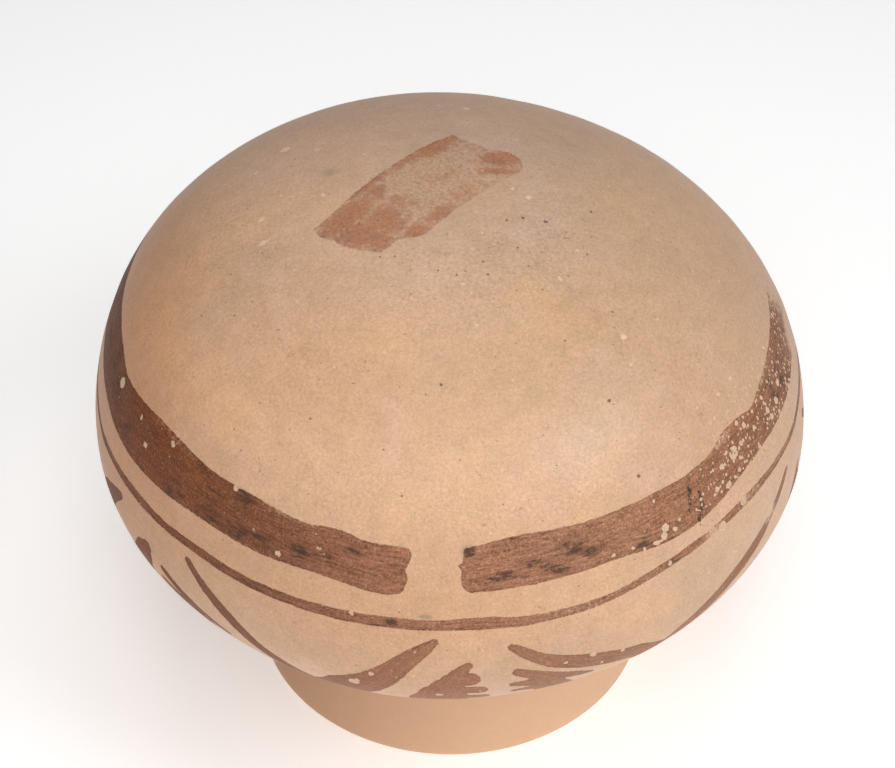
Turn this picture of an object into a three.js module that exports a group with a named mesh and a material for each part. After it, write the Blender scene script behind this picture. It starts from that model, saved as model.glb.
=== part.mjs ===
// A hand-built pottery jar: one piece of fired clay, hollow, with a rounded base, a wide body,
// a low shoulder and a short flared neck. It stands mouth down on its rim, base up.
// Millimetres, +Z up, origin at the centre of the rim's resting face, front towards -Y.
import * as THREE from "three";

// Driving dimensions of the outside
const bodyRadius = 125;
const widestHeight = 107.75;
const baseRise = 96.6;
const shoulderDrop = 62.5;
const basePower = 2.09;
const shoulderPower = 1.889;
const shoulderEndRadius = 84;
const throatRadius = 66.5;
const throatHeight = 40;
const rimRadius = 72;
const flarePower = 1.8;

// Thickness of the clay at the middle of the base, in the body and at the rim
const baseWall = 8.5;
const bodyWall = 6.6;
const rimWall = 6.4;
const lipRounding = 2;

// How far the coils wander from round: a sideways lean, an oval and a three-sided swell
const baseLean = -2.2;
const neckLean = 1.1;
const ovalSwell = 1.0;
const ovalDirection = THREE.MathUtils.degToRad(-59);
const threeSidedSwell = 0.8;
const threeSidedDirection = THREE.MathUtils.degToRad(18.4);
const roundNeckHeight = 40;
const fullSwellHeight = 85;

// Facets
const sidesAround = 64;
const baseSteps = 18;
const shoulderSteps = 7;
const neckBendSteps = 4;
const neckSteps = 3;
const lipSteps = 2;

// A quarter of a superellipse, from its equator (turn 0) to its pole (turn 1), as radius and rise.
function superellipse(turn, radius, rise, power) {
  const angle = (turn * Math.PI) / 2;
  return [
    radius * Math.max(Math.cos(angle), 0) ** (2 / power),
    rise * Math.sin(angle) ** (2 / power),
  ];
}

// The rounded base, from its middle down to the widest point.
function basePoints() {
  const points = [];
  for (let i = 0; i < baseSteps; i++) {
    const [r, rise] = superellipse(1 - i / baseSteps, bodyRadius, baseRise, basePower);
    points.push(new THREE.Vector2(i === 0 ? 0 : r, widestHeight + rise));
  }
  return points;
}

// The turn at which the shoulder's superellipse has come in to a given radius.
function shoulderTurnAt(radius) {
  return Math.acos((radius / bodyRadius) ** (shoulderPower / 2)) / (Math.PI / 2);
}

// The shoulder, from the widest point in and down to where it bends into the neck.
function shoulderPoints() {
  const lastTurn = shoulderTurnAt(shoulderEndRadius);
  const points = [];
  for (let i = 0; i <= shoulderSteps; i++) {
    const turn = (lastTurn * i) / shoulderSteps;
    const [r, drop] = superellipse(turn, bodyRadius, shoulderDrop, shoulderPower);
    points.push(new THREE.Vector2(r, widestHeight - drop));
  }
  return points;
}

// The concave bend from the shoulder's own slope to the upright throat.
function neckBendPoints(shoulder) {
  const end = shoulder.at(-1);
  const slope = end.clone().sub(shoulder.at(-2)).normalize();
  const reach = end.x - throatRadius;
  const curve = new THREE.CubicBezierCurve(
    end,
    end.clone().addScaledVector(slope, reach * 0.6),
    new THREE.Vector2(throatRadius, throatHeight + reach * 0.75),
    new THREE.Vector2(throatRadius, throatHeight),
  );
  return curve.getPoints(neckBendSteps).slice(1);
}

// The flared neck, from the throat down to where the lip starts to round.
function neckPoints() {
  const points = [];
  for (let i = 1; i <= neckSteps; i++) {
    const z = throatHeight + ((lipRounding - throatHeight) * i) / neckSteps;
    const share = (throatHeight - z) / throatHeight;
    points.push(
      new THREE.Vector2(throatRadius + (rimRadius - throatRadius) * share ** flarePower, z),
    );
  }
  return points;
}

// Inside points: each outside point moved in along the profile's own normal by the clay's thickness.
function insidePoints(outside) {
  const points = [];
  for (let i = 0; i < outside.length; i++) {
    const before = outside[Math.max(i - 1, 0)];
    const after = outside[Math.min(i + 1, outside.length - 1)];
    const along = after.clone().sub(before).normalize();
    const inward = i === 0 ? new THREE.Vector2(0, -1) : new THREE.Vector2(along.y, -along.x);
    const upShare = THREE.MathUtils.smoothstep(outside[i].y, widestHeight, widestHeight + baseRise);
    const downShare = THREE.MathUtils.smoothstep(widestHeight - outside[i].y, 0, widestHeight);
    const wall = bodyWall + (baseWall - bodyWall) * upShare + (rimWall - bodyWall) * downShare;
    points.push(outside[i].clone().addScaledVector(inward, wall));
  }
  return points;
}

// The lip: two rounded corners with a narrow worn flat between them, at height 0.
function lipPoints(outer, inner) {
  const points = [];
  for (let i = 1; i <= lipSteps; i++) {
    const angle = (i / lipSteps) * (Math.PI / 2);
    points.push(
      new THREE.Vector2(
        outer.x - lipRounding * (1 - Math.cos(angle)),
        lipRounding * (1 - Math.sin(angle)),
      ),
    );
  }
  for (let i = lipSteps; i >= 1; i--) {
    const angle = (i / lipSteps) * (Math.PI / 2);
    points.push(
      new THREE.Vector2(
        inner.x + lipRounding * (1 - Math.cos(angle)),
        lipRounding * (1 - Math.sin(angle)),
      ),
    );
  }
  return points;
}

// Moves one point of the turned shape to where the hand-built wall really is.
function wander(point) {
  const angle = Math.atan2(point.y, point.x);
  const share = THREE.MathUtils.smoothstep(point.z, roundNeckHeight, fullSwellHeight);
  const swell =
    ovalSwell * Math.cos(2 * (angle - ovalDirection)) +
    threeSidedSwell * Math.cos(3 * (angle - threeSidedDirection));
  const grow = 1 + (share * swell) / bodyRadius;
  const above = Math.max((point.z - widestHeight) / baseRise, 0);
  const below = Math.min(Math.max((widestHeight - point.z) / shoulderDrop, 0), 1);
  const lean = baseLean * above ** 1.6 + neckLean * below;
  point.set(point.x * grow + lean, point.y * grow, point.z);
}

function jarGeometry() {
  const shoulder = shoulderPoints();
  const outside = [...basePoints(), ...shoulder, ...neckBendPoints(shoulder), ...neckPoints()];
  const inside = insidePoints(outside).filter((_, i) => i >= baseSteps || i % 2 === 0);
  inside.at(-1).y = lipRounding;
  const profile = [...outside, ...lipPoints(outside.at(-1), inside.at(-1)), ...inside.reverse()];
  profile.reverse();
  const geometry = new THREE.LatheGeometry(profile, sidesAround);
  geometry.rotateX(Math.PI / 2);
  const position = geometry.getAttribute("position");
  const point = new THREE.Vector3();
  for (let i = 0; i < position.count; i++) {
    point.fromBufferAttribute(position, i);
    wander(point);
    position.setXYZ(i, point.x, point.y, point.z);
  }
  geometry.computeVertexNormals();
  return geometry;
}

// Unslipped buff clay, polished, with brown paint that is colour only.
const buffClay = new THREE.MeshStandardMaterial({
  color: 0xcda07a,
  roughness: 0.55,
  metalness: 0,
});

const pot = new THREE.Mesh(jarGeometry(), buffClay);
pot.name = "jar";

const model = new THREE.Group();
model.add(pot);

export default model;
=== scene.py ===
"""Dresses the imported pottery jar: one fine mesh of the fired clay, its worn brown paint and a plain studio.

Lengths are millimetres until a mesh or a light is made, and metres in Blender. The jar stands mouth down,
base up. Azimuth is in degrees round the jar, 0 at the front (-Y) and growing towards +X. "Down" is the
distance over the outside from the middle of the base, so the rim is the furthest down.
"""
import math

import bpy
import numpy as np
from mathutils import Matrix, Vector


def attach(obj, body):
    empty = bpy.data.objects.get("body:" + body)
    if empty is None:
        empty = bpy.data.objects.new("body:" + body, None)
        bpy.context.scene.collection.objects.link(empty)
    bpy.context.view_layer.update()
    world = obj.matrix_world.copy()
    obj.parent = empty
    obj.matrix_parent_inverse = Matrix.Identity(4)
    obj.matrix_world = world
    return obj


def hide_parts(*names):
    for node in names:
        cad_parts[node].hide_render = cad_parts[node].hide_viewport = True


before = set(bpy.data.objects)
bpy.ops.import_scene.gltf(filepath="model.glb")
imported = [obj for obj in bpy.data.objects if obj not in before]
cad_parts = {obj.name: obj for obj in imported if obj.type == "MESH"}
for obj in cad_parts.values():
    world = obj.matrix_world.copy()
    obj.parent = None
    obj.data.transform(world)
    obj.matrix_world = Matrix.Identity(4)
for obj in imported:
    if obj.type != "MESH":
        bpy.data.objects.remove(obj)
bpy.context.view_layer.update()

MM = 0.001

# The jar's outside, as its solid has it
BODY_RADIUS = 125.0
WIDEST_HEIGHT = 107.75
BASE_RISE = 96.6
SHOULDER_DROP = 62.5
BASE_POWER = 2.09
SHOULDER_POWER = 1.889
SHOULDER_END_RADIUS = 84.0
THROAT_RADIUS = 66.5
THROAT_HEIGHT = 40.0
RIM_RADIUS = 72.0
FLARE_POWER = 1.8
LIP_ROUNDING = 2.0

# Thickness of the clay
BASE_WALL = 8.5
BODY_WALL = 6.6
RIM_WALL = 6.4

# How far the coils wander from round
BASE_LEAN = -2.2
NECK_LEAN = 1.1
OVAL_SWELL = 1.0
OVAL_DIRECTION = math.radians(-59)
THREE_SIDED_SWELL = 0.8
THREE_SIDED_DIRECTION = math.radians(18.4)
ROUND_NECK_HEIGHT = 40.0
FULL_SWELL_HEIGHT = 85.0

# The mesh's grid: columns round the jar, closer together in front, and the spacing of its rows
COLUMNS = 400
FRONT_CROWDING = 0.4
DOME_STEP = 1.6
PAINTED_STEP = 1.1
NECK_STEP = 3.2
INSIDE_STEP = 9.0
PAINT_STARTS = 116.0
PAINT_ENDS = 236.0
LIP_STEPS = 4

# How closely the outside's profile is worked out: points of the dome, the shoulder, the bend and the neck
PROFILE_POINTS = (900, 500, 200, 250)
# How far the bend is pulled along the shoulder's slope and up the throat, as shares of its reach
SHOULDER_PULL = 0.6
THROAT_PULL = 0.75
LEAN_POWER = 1.6

# Fine unevenness of the surface: height and length of its waves, and how much flatter the coils' waves are
SWELL_WAVES = (0.22, 70.0)
COIL_WAVES = (0.05, 16.0)
COIL_SQUEEZE = 1.8
# Heights over which the unevenness begins above the rim, and over which the base's panel can be
RIM_CALM = (2.0, 30.0)
PANEL_HEIGHTS = (120.0, 140.0)
# A depth that stands for well outside a mark, and the furthest that is told from the panel's outline
FAR_OUTSIDE = -20.0
PANEL_REACH = 30.0


def ease(value, start, end):
    """Rises from 0 at start to 1 at end in a smooth S: 3t² - 2t³."""
    t = np.clip((value - start) / (end - start), 0, 1)
    return t * t * (3 - 2 * t)


def superellipse(turn, radius, rise, power):
    """A quarter of a superellipse from its equator, turn 0, to its pole, turn 1, as radius and rise."""
    angle = turn * math.pi / 2
    return radius * np.maximum(np.cos(angle), 0) ** (2 / power), rise * np.sin(angle) ** (2 / power)


def outside_profile():
    """Radius and height from the base's middle to the rim: a dome, a shoulder, a bend and a flared neck."""
    dome_count, shoulder_count, bend_count, neck_count = PROFILE_POINTS
    dome_turn = np.linspace(1, 0, dome_count)
    dome_radius, dome_rise = superellipse(dome_turn, BODY_RADIUS, BASE_RISE, BASE_POWER)
    dome_radius[0] = 0
    last_turn = math.acos((SHOULDER_END_RADIUS / BODY_RADIUS) ** (SHOULDER_POWER / 2)) / (math.pi / 2)
    shoulder_turn = np.linspace(0, last_turn, shoulder_count)[1:]
    shoulder_radius, fall = superellipse(shoulder_turn, BODY_RADIUS, SHOULDER_DROP, SHOULDER_POWER)
    shoulder = np.stack([shoulder_radius, WIDEST_HEIGHT - fall], 1)
    slope = shoulder[-1] - shoulder[-2]
    slope /= np.linalg.norm(slope)
    reach = SHOULDER_END_RADIUS - THROAT_RADIUS
    first, last = shoulder[-1], np.array([THROAT_RADIUS, THROAT_HEIGHT])
    pull_first, pull_last = first + slope * reach * SHOULDER_PULL, last + [0, reach * THROAT_PULL]
    t = np.linspace(0, 1, bend_count)[1:, None]
    bend = (1 - t) ** 3 * first + 3 * (1 - t) ** 2 * t * pull_first
    bend += 3 * (1 - t) * t**2 * pull_last + t**3 * last
    neck_height = np.linspace(THROAT_HEIGHT, LIP_ROUNDING, neck_count)[1:]
    share = (THROAT_HEIGHT - neck_height) / THROAT_HEIGHT
    neck_radius = THROAT_RADIUS + (RIM_RADIUS - THROAT_RADIUS) * share**FLARE_POWER
    dome = np.stack([dome_radius, WIDEST_HEIGHT + dome_rise], 1)
    return np.concatenate([dome, shoulder, bend, np.stack([neck_radius, neck_height], 1)])


OUTSIDE = outside_profile()
DOWN = np.concatenate([[0], np.cumsum(np.linalg.norm(np.diff(OUTSIDE, axis=0), axis=1))])


def outward():
    """The outside profile's own normal at each of its points."""
    along = np.gradient(OUTSIDE, axis=0)
    along /= np.linalg.norm(along, axis=1, keepdims=True)
    normal = np.stack([-along[:, 1], along[:, 0]], 1)
    normal[0] = (0, 1)
    return normal


OUTWARD = outward()


def at_down(down, table):
    """A table's value, radius and height or a normal, at distances down the outside."""
    return np.stack([np.interp(down, DOWN, table[:, i]) for i in range(2)], 1)


def wall(height):
    """Thickness of the clay at a height: thickest in the base, thinnest at the rim."""
    up = ease(height, WIDEST_HEIGHT, WIDEST_HEIGHT + BASE_RISE)
    below = ease(WIDEST_HEIGHT - height, 0, WIDEST_HEIGHT)
    return BODY_WALL + (BASE_WALL - BODY_WALL) * up + (RIM_WALL - BODY_WALL) * below


def row_profile():
    """Every row of the mesh but its two poles: radius and height, the way out, how far down, and 1 for rows
    of the inside."""
    dome = np.arange(DOME_STEP, PAINT_STARTS, DOME_STEP)
    painted = np.arange(PAINT_STARTS, PAINT_ENDS, PAINTED_STEP)
    neck = np.arange(PAINT_ENDS, DOWN[-1] - NECK_STEP / 2, NECK_STEP)
    down = np.concatenate([dome, painted, neck, DOWN[-1:]])
    outside = at_down(down, OUTSIDE)
    out = at_down(down, OUTWARD)
    inside_down = np.linspace(DOWN[-1], INSIDE_STEP, int(DOWN[-1] / INSIDE_STEP))
    face = at_down(inside_down, OUTSIDE)
    face_out = at_down(inside_down, OUTWARD)
    inside = face - face_out * wall(face[:, 1])[:, None]
    inside[0, 1] = LIP_ROUNDING
    turn = np.linspace(0, math.pi / 2, LIP_STEPS + 1)[1:]
    lip_height = LIP_ROUNDING * (1 - np.sin(turn))
    outer_lip = np.stack([outside[-1, 0] - LIP_ROUNDING * (1 - np.cos(turn)), lip_height], 1)
    inner_lip = np.stack([inside[0, 0] + LIP_ROUNDING * (1 - np.cos(turn)), lip_height], 1)[::-1]
    outer_out = np.stack([np.cos(turn), -np.sin(turn)], 1)
    inner_out = np.stack([-np.cos(turn), -np.sin(turn)], 1)[::-1]
    lip_down = DOWN[-1] + LIP_ROUNDING * turn
    points = np.concatenate([outside, outer_lip, inner_lip, inside])
    ways_out = np.concatenate([out, outer_out, inner_out, -face_out])
    downs = np.concatenate([down, lip_down, lip_down[::-1], inside_down])
    within = np.concatenate([np.zeros(len(down) + LIP_STEPS), np.ones(LIP_STEPS + len(inside))])
    return points, ways_out, downs, within


def wander(place):
    """Moves points of the turned shape to where the hand-built wall is: an oval, a three-sided swell and
    a lean."""
    angle = np.arctan2(place[:, 1], place[:, 0])
    swell = OVAL_SWELL * np.cos(2 * (angle - OVAL_DIRECTION))
    swell += THREE_SIDED_SWELL * np.cos(3 * (angle - THREE_SIDED_DIRECTION))
    grow = 1 + ease(place[:, 2], ROUND_NECK_HEIGHT, FULL_SWELL_HEIGHT) * swell / BODY_RADIUS
    above = np.maximum((place[:, 2] - WIDEST_HEIGHT) / BASE_RISE, 0)
    below = np.clip((WIDEST_HEIGHT - place[:, 2]) / SHOULDER_DROP, 0, 1)
    lean = BASE_LEAN * above**LEAN_POWER + NECK_LEAN * below
    return np.stack([place[:, 0] * grow + lean, place[:, 1] * grow, place[:, 2]], 1)


def ripple(place, wavelength, seed, waves=20):
    """Smooth unevenness between about -1 and 1: a sum of plane waves in random directions."""
    draw = np.random.default_rng(seed)
    direction = draw.normal(size=(3, waves))
    direction /= np.linalg.norm(direction, axis=0)
    length = wavelength * draw.uniform(0.7, 1.5, waves)
    phase = draw.uniform(0, 2 * math.pi, waves)
    return np.sin(place @ (direction * 2 * math.pi / length) + phase).sum(1) / math.sqrt(waves)


def on_jar(azimuth, down):
    """The point of the outside at an azimuth and a distance down it, in millimetres."""
    radius, height = at_down(np.array([float(down)]), OUTSIDE)[0]
    angle = math.radians(azimuth)
    return wander(np.array([[radius * math.sin(angle), -radius * math.cos(angle), height]]))[0]


# The painted pattern. A ring is drawn by points (azimuth, down, width); it closes on itself.
THICK_BAND_TOP = (
    (-100, 128), (-84, 127.8), (-79, 128.2), (-74, 129.7), (-70, 129), (-64, 127.2), (-58, 125.4),
    (-52, 125), (-44, 125.8), (-34, 125.5), (-28, 126.3), (-24, 127), (-20, 126.2), (-17, 126),
    (-13.5, 127.5), (-3, 127.8), (4, 127.6), (9, 125.9), (24, 126.2), (38, 126.8), (46, 127.6), (50, 127.2),
    (55, 125.2), (60, 126), (64, 128.2), (68, 127.2), (74, 126), (80, 125.6), (110, 126.5), (150, 125.5),
    (190, 127), (225, 125.8),
)
THICK_BAND_FOOT = (
    (-100, 145), (-80, 146), (-65, 147.2), (-56, 145.8), (-48, 144), (-42, 142.9), (-30, 142.9),
    (-20, 142.2), (-10, 144.4), (-3, 144.4), (3, 142.8), (8, 142.5), (18, 141.9), (28, 141.8), (35, 143.8),
    (44, 144.3), (55, 141.8), (62, 141.5), (72, 142.4), (110, 142), (150, 143), (190, 141.5), (225, 143),
)
THIN_BAND = (
    (-100, 156, 3.2), (-84, 157, 3.2), (-76, 159.2, 3), (-68, 158.2, 3), (-60, 156.9, 3.6), (-50, 156, 3.2),
    (-42, 154.8, 3.5), (-34, 155.1, 3.5), (-24, 154.9, 3.6), (-14, 154.6, 4.1), (-8, 154.4, 4),
    (0, 154.3, 4), (5.3, 154, 4.7), (11, 154.7, 3.6), (17, 154.6, 3.1), (24, 154.2, 2.9), (33, 152.2, 2.7),
    (40, 151.4, 3), (44, 151.1, 2.6), (50, 151, 3), (58, 151.4, 3), (64, 152.4, 2.4), (70, 153.4, 2.2),
    (85, 153, 2.6), (120, 155, 3.6), (160, 154, 3.2), (200, 156, 3.8), (230, 154.5, 3.4),
)
# The thick band's break in front: the azimuth of its left and its right side at distances down
BREAK_LEFT = (
    (127.4, -6.8), (128.4, -5.7), (130.5, -5.4), (133, -5.8), (135.5, -6.4), (137.5, -5.9), (140, -6.1),
    (142.4, -6.5), (143.6, -7.1), (144.4, -8.4),
)
BREAK_RIGHT = (
    (127.4, 3.4), (128.2, 2.8), (130.5, 2.7), (132.4, 2.5), (133.6, 1.7), (135, 2.4), (137.5, 2.2),
    (139.5, 2.2), (141.2, 2.6), (142.4, 3.2), (143, 4.2),
)
NECK_LINE = 228.0
NECK_LINE_WIDTH = 4.0
# Between these distances down lie the strokes of the shoulder
STROKES_START = 150.0
STROKES_END = 240.0

# Brush strokes of the shoulder, each a run of (azimuth, down, width). A chevron's two arms come down
# to one foot, and two fingered leaves face each other in the space beside it.
CHEVRON_NARROW = (
    ((-43.8, 161.8, 3), (-41.9, 165.2, 3.6), (-38, 171, 4.6), (-35, 175, 5), (-32, 179.4, 5.2),
     (-29, 184.6, 5.8), (-25.5, 190, 7), (-20, 203, 9)),
    ((-1.9, 160.9, 2.8), (-3.4, 163.9, 4.8), (-5.2, 167.5, 6.6), (-7, 171.9, 7.8), (-8.8, 176.4, 9),
     (-10.8, 181, 11), (-13, 185.6, 13.6), (-15.6, 190.4, 16), (-19, 203, 20)),
    ((-19, 203, 18), (-20, 226, 7)),
)
CHEVRON_WIDE = (
    ((9.4, 164.5, 2.8), (11.2, 167.6, 4.2), (13.4, 171.1, 4.8), (15.4, 173.8, 5.8), (18.2, 176.4, 6.4),
     (21.4, 179, 7), (25, 181.6, 7.8), (30, 185.4, 9), (36, 196, 12)),
    ((67.8, 160.9, 2.2), (65.2, 163.6, 3.4), (61.5, 167.6, 3.2), (58, 171.2, 5), (53, 174.9, 6),
     (48, 178.4, 6.4), (43, 182.6, 7.4), (38.5, 188, 9), (36, 197, 12)),
    ((36, 197, 16), (35, 226, 8)),
)
LEAF_LEFT = (
    ((3, 171, 3), (2.2, 172.8, 4.2), (1.3, 175.6, 5.8), (0.6, 179, 8.4), (-0.2, 183, 12), (-0.9, 188, 16),
     (-1.6, 195, 19), (-3.5, 214, 10)),
    ((0.5, 178, 6.4), (3.3, 177.8, 6.4)),
    ((0.5, 185.3, 5.6), (4.7, 185.2, 5.4)),
    ((0, 192.2, 6), (5.2, 193, 5.2)),
)
LEAF_RIGHT = (
    ((10.2, 176.4, 3.4), (12.4, 178.9, 4.6), (15.4, 182, 5), (18.6, 185, 4.4), (22.4, 188, 1.8)),
    ((9.7, 183.4, 3), (12, 184, 4.6), (16, 186.4, 7)),
    ((10, 189.6, 2.8), (12.5, 189.8, 4.6), (16.5, 192, 8)),
    ((13.6, 183.6, 5), (15.4, 189, 11), (17, 197, 13), (18, 213, 6)),
)
LEFT_EDGE_STROKES = (
    ((-63.8, 166.4, 3.4), (-66, 169.8, 6), (-69.5, 176, 10), (-75, 190, 15), (-79, 204, 17)),
    ((-54.6, 173.2, 5.4), (-55.6, 177, 10), (-57.5, 186, 13), (-60, 210, 9)),
    ((-50.3, 176, 2.6), (-47, 179.4, 3.8), (-42, 183.4, 4.6), (-36.5, 187, 2.4)),
    ((-50.8, 182, 2.6), (-46, 185.5, 6), (-41, 190, 6)),
    ((-47, 186, 6), (-45, 196, 8), (-43, 212, 5)),
)
# Where the pattern is repeated round the back: how far each narrow chevron and its leaves are turned
BACK_TURNS = (125.0, 182.0, 239.0)
# And how far the leaves beside the wide chevron are turned
RIGHT_LEAVES_TURN = 71.0


def turned(strokes, turn):
    """The same strokes, carried round the jar by some degrees."""
    return tuple(tuple((azimuth + turn, down, width) for azimuth, down, width in run) for run in strokes)


def shoulder_strokes():
    """All the brush strokes of the shoulder, in front as measured and round the back as repeats."""
    strokes = [*CHEVRON_NARROW, *CHEVRON_WIDE, *LEAF_LEFT, *LEAF_RIGHT, *LEFT_EDGE_STROKES]
    for turn in BACK_TURNS:
        strokes += turned(CHEVRON_NARROW, turn)
    for turn in (RIGHT_LEAVES_TURN, *BACK_TURNS[:2]):
        strokes += turned(LEAF_LEFT + LEAF_RIGHT, turn)
    return strokes


def tone(red, green, blue):
    """A colour from its everyday 0 to 255 values, made linear for the shader."""
    values = [v / 255 for v in (red, green, blue)]
    return (*[v / 12.92 if v < 0.04045 else ((v + 0.055) / 1.055) ** 2.4 for v in values], 1.0)


def ring_value(azimuth, points, column):
    """A smooth closed curve through given points round the jar: a cubic between each two, and at each
    point the mean slope of both sides."""
    at = np.array([p[0] for p in points], float)
    value = np.array([p[column] for p in points], float)
    at = np.concatenate([at[-2:] - 360, at, at[:2] + 360])
    value = np.concatenate([value[-2:], value, value[:2]])
    slope = np.gradient(value, at)
    where = (azimuth - at[1]) % 360 + at[1]
    i = np.clip(np.searchsorted(at, where, side="right") - 1, 0, len(at) - 2)
    gap = at[i + 1] - at[i]
    t = (where - at[i]) / gap
    return (
        (2 * t**3 - 3 * t**2 + 1) * value[i] + (t**3 - 2 * t**2 + t) * gap * slope[i]
        + (3 * t**2 - 2 * t**3) * value[i + 1] + (t**3 - t**2) * gap * slope[i + 1]
    )


def degrees_apart(azimuth, other):
    """Signed difference of two azimuths, between -180 and 180."""
    return (azimuth - other + 180) % 360 - 180


def stroke_depth(azimuth, down, girth, run):
    """How deep a point lies in a brush stroke, and how far aside of its middle: half the brush's width less
    the distance to the run, and the signed distance across the nearest stretch of the run."""
    depth = np.full(len(azimuth), -np.inf)
    aside = np.zeros(len(azimuth))
    for (a0, d0, w0), (a1, d1, w1) in zip(run[:-1], run[1:]):
        x = np.radians(degrees_apart(azimuth, a0)) * girth
        y = down - d0
        across, along = math.radians(a1 - a0) * girth, d1 - d0
        length = np.hypot(across, along)
        t = np.clip((x * across + y * along) / length**2, 0, 1)
        here = (w0 + (w1 - w0) * t) / 2 - np.hypot(x - t * across, y - t * along)
        aside = np.where(here > depth, (y * across - x * along) / length, aside)
        depth = np.maximum(depth, here)
    return depth, aside


def paint_depth(azimuth, down, girth):
    """Depth inside the painted area in millimetres, below 0 outside it, and the distance across the brush's
    path: the greatest depth of all bands and strokes."""
    top = ring_value(azimuth, THICK_BAND_TOP, 1)
    foot = ring_value(azimuth, THICK_BAND_FOOT, 1)
    to_left = degrees_apart(azimuth, np.interp(down, *np.transpose(BREAK_LEFT)))
    to_right = degrees_apart(np.interp(down, *np.transpose(BREAK_RIGHT)), azimuth)
    in_break = np.radians(np.minimum(to_left, to_right)) * girth
    thick = np.minimum(np.minimum(down - top, foot - down), -in_break)
    thin_middle = ring_value(azimuth, THIN_BAND, 1)
    thin = ring_value(azimuth, THIN_BAND, 2) / 2 - np.abs(down - thin_middle)
    neck_line = NECK_LINE_WIDTH / 2 - np.abs(down - NECK_LINE)
    depth = np.maximum(np.maximum(thick, thin), neck_line)
    aside = np.where(thick > thin, down - (top + foot) / 2, down - thin_middle)
    near = (down > STROKES_START) & (down < STROKES_END)
    deepest, across = depth[near], aside[near]
    for run in shoulder_strokes():
        here, here_aside = stroke_depth(azimuth[near], down[near], girth[near], run)
        across = np.where(here > deepest, here_aside, across)
        deepest = np.maximum(deepest, here)
    depth[near], aside[near] = deepest, across
    return np.maximum(depth, FAR_OUTSIDE), aside


# The worn reddish panel in the middle of the base, seen from above, in millimetres along X and Y
PANEL_OUTLINE = (
    (-44.3, -12.4), (-36, -4), (-30.5, 2.8), (-22.4, 12), (-16.5, 18), (-10, 25), (-3.5, 31), (2, 35.2),
    (3.4, 32.6), (9, 29.5), (14, 26), (20.5, 25.6), (24.6, 21.5), (25.2, 15.5), (22.2, 12), (18.4, 8.6),
    (9, -1.2), (2.4, -7.8), (-2.8, -14.2), (-7.4, -19.8), (-11, -20.6), (-16.4, -21.4), (-18.6, -24),
    (-22, -26.6), (-29.5, -24.4), (-34.8, -21.6), (-37, -18.6), (-38.6, -18.4), (-41, -17),
)
# Where its colour has held: (x, y, half its length, half its width, degrees from +X, strength)
PANEL_HOLDS = (
    (-33.5, -9.5, 9, 4.6, 46, 1), (-28, -18, 8, 5, -15, 1), (-20.5, -13, 6, 7, 0, 0.75),
    (-22, -22, 4, 3, 0, 0.9), (-27, 5.6, 9, 1.5, 47, 0.85), (-13.5, 19, 7, 2.2, 45, 0.75),
    (-4.5, 26.5, 7.5, 3.4, 47, 0.95), (1.2, 32.6, 2.2, 2.6, 45, 0.7), (-10, -17.6, 4.2, 2.5, 35, 0.9),
    (-2.6, -10, 5.5, 2.4, 48, 0.75), (5, 0, 6, 3.2, 45, 0.35), (-23.5, 2, 3.2, 3.4, 0, 0.65),
    (-16, -3, 6, 2.2, -20, 0.5), (17.6, 20.6, 5.6, 4, 10, 0.95), (16.8, 13.2, 5.6, 1.5, 5, 0.9),
    (8, 27.5, 6, 2.4, -25, 0.35), (-2, 9, 5, 2.6, 30, 0.3),
)


def panel_depth(x, y):
    """Depth inside the panel's outline, in millimetres: the distance to its nearest side, below 0 outside. A
    point is inside where a line from it towards +X crosses the sides an odd number of times."""
    corners = np.array(PANEL_OUTLINE, float)
    nearest = np.full(len(x), PANEL_REACH)
    inside = np.zeros(len(x), bool)
    for (x0, y0), (x1, y1) in zip(corners, np.roll(corners, -1, axis=0)):
        side_x, side_y = x1 - x0, y1 - y0
        t = np.clip(((x - x0) * side_x + (y - y0) * side_y) / (side_x**2 + side_y**2), 0, 1)
        nearest = np.minimum(nearest, np.hypot(x - x0 - t * side_x, y - y0 - t * side_y))
        inside ^= ((y0 > y) != (y1 > y)) & (x < x0 + (y - y0) * side_x / side_y)
    return np.where(inside, nearest, -nearest)


def panel_hold(x, y):
    """How well the panel's colour has held, from 0 to 1: the strongest of a few soft ellipses."""
    hold = np.zeros(len(x))
    for cx, cy, half_length, half_width, degrees, strength in PANEL_HOLDS:
        c, s = math.cos(math.radians(degrees)), math.sin(math.radians(degrees))
        along, across = (x - cx) * c + (y - cy) * s, (y - cy) * c - (x - cx) * s
        spread = (along / half_length) ** 2 + (across / half_width) ** 2
        hold = np.maximum(hold, strength * np.exp(-0.5 * spread**1.5))
    return hold


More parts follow.
